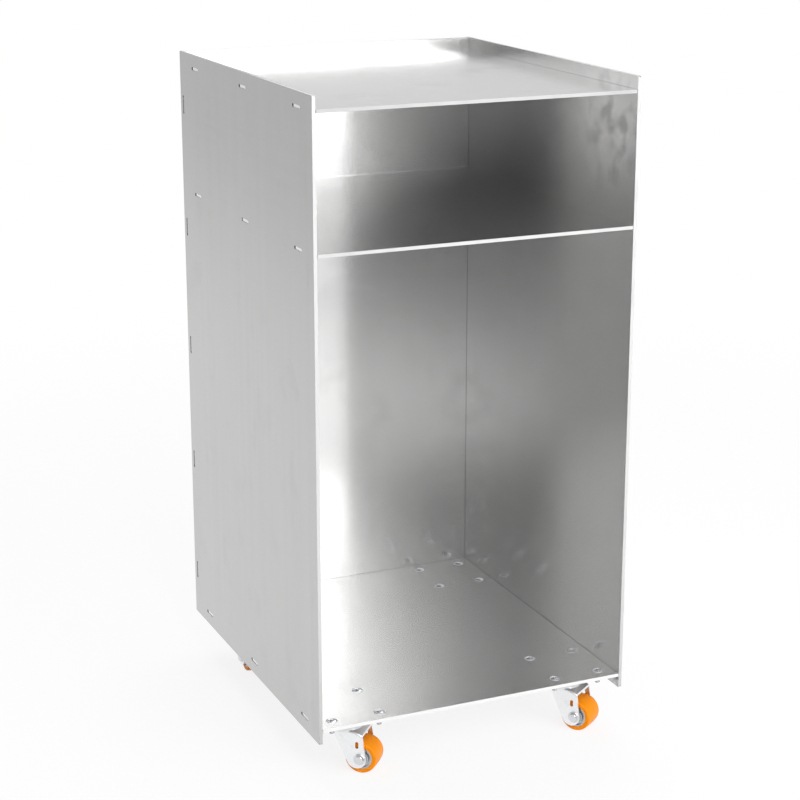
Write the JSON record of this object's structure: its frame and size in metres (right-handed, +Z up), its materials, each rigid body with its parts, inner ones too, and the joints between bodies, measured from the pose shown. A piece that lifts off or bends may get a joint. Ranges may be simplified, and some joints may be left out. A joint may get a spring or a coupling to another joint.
{
  "type": "utility cart",
  "caption": "Narrow open-fronted utility cart of brushed aluminium sheet, with a recessed top tray, a shelf and a floor, on swivel casters with orange wheels.",
  "frame": {"origin": "on the ground, under the middle of the carcass", "axes": "+X to the right, +Y to the back, +Z up; the open front faces -Y"},
  "size_m": [0.4, 0.45, 0.8098],
  "materials": {
    "brushed_sheet": "fine brushed, bare",
    "zinc_plate": "bright zinc plated steel sheet",
    "bright_steel": "bright zinc plated steel",
    "cast_core": "die-cast, satin",
    "polyurethane": "glossy cast polyurethane"
  },
  "bodies": {
    "carcass": {"left_side_panel": "brushed_sheet", "right_side_panel": "brushed_sheet", "back_panel": "brushed_sheet", "top_tray": "brushed_sheet", "middle_shelf": "brushed_sheet", "floor_panel": "brushed_sheet", "floor_screws": "bright_steel", "floor_nuts": "bright_steel", "front_left_caster_plate": "zinc_plate", "front_left_kingpin": "bright_steel", "front_right_caster_plate": "zinc_plate", "front_right_kingpin": "bright_steel", "rear_left_caster_plate": "zinc_plate", "rear_left_kingpin": "bright_steel", "rear_right_caster_plate": "zinc_plate", "rear_right_kingpin": "bright_steel"},
    "front_left_swivel": {"front_left_swivel_balls": "bright_steel", "front_left_fork": "zinc_plate", "front_left_axle_bolt": "bright_steel", "front_left_axle_nut": "bright_steel", "front_left_axle_sleeve": "bright_steel"},
    "front_left_wheel": {"front_left_wheel_core": "cast_core", "front_left_wheel_bearings": "bright_steel", "front_left_tread": "polyurethane"},
    "front_right_swivel": {"front_right_swivel_balls": "bright_steel", "front_right_fork": "zinc_plate", "front_right_axle_bolt": "bright_steel", "front_right_axle_nut": "bright_steel", "front_right_axle_sleeve": "bright_steel"},
    "front_right_wheel": {"front_right_wheel_core": "cast_core", "front_right_wheel_bearings": "bright_steel", "front_right_tread": "polyurethane"},
    "rear_left_swivel": {"rear_left_swivel_balls": "bright_steel", "rear_left_fork": "zinc_plate", "rear_left_axle_bolt": "bright_steel", "rear_left_axle_nut": "bright_steel", "rear_left_axle_sleeve": "bright_steel"},
    "rear_left_wheel": {"rear_left_wheel_core": "cast_core", "rear_left_wheel_bearings": "bright_steel", "rear_left_tread": "polyurethane"},
    "rear_right_swivel": {"rear_right_swivel_balls": "bright_steel", "rear_right_fork": "zinc_plate", "rear_right_axle_bolt": "bright_steel", "rear_right_axle_nut": "bright_steel", "rear_right_axle_sleeve": "bright_steel"},
    "rear_right_wheel": {"rear_right_wheel_core": "cast_core", "rear_right_wheel_bearings": "bright_steel", "rear_right_tread": "polyurethane"}
  },
  "joints": [
    {"name": "front_left_swivel_turn", "type": "hinge", "parent": "carcass", "child": "front_left_swivel", "pos_m": [-0.147, -0.173, 0.06], "axis": [0, 0, 1], "continuous": true},
    {"name": "front_left_wheel_roll", "type": "hinge", "parent": "front_left_swivel", "child": "front_left_wheel", "pos_m": [-0.1288, -0.1891, 0.02], "axis": [0.6626, 0.749, 0], "continuous": true},
    {"name": "front_right_swivel_turn", "type": "hinge", "parent": "carcass", "child": "front_right_swivel", "pos_m": [0.147, -0.173, 0.06], "axis": [0, 0, 1], "continuous": true},
    {"name": "front_right_wheel_roll", "type": "hinge", "parent": "front_right_swivel", "child": "front_right_wheel", "pos_m": [0.16128, -0.19266, 0.02], "axis": [0.809, 0.5878, 0], "continuous": true},
    {"name": "rear_left_swivel_turn", "type": "hinge", "parent": "carcass", "child": "rear_left_swivel", "pos_m": [-0.147, 0.161, 0.06], "axis": [0, 0, 1], "continuous": true},
    {"name": "rear_left_wheel_roll", "type": "hinge", "parent": "rear_left_swivel", "child": "rear_left_wheel", "pos_m": [-0.14827, 0.13673, 0.02], "axis": [0.9986, -0.0523, 0], "continuous": true},
    {"name": "rear_right_swivel_turn", "type": "hinge", "parent": "carcass", "child": "rear_right_swivel", "pos_m": [0.147, 0.161, 0.06], "axis": [0, 0, 1], "continuous": true},
    {"name": "rear_right_wheel_roll", "type": "hinge", "parent": "rear_right_swivel", "child": "rear_right_wheel", "pos_m": [0.15329, 0.13753, 0.02], "axis": [0.9659, 0.2588, 0], "continuous": true}
  ]
}
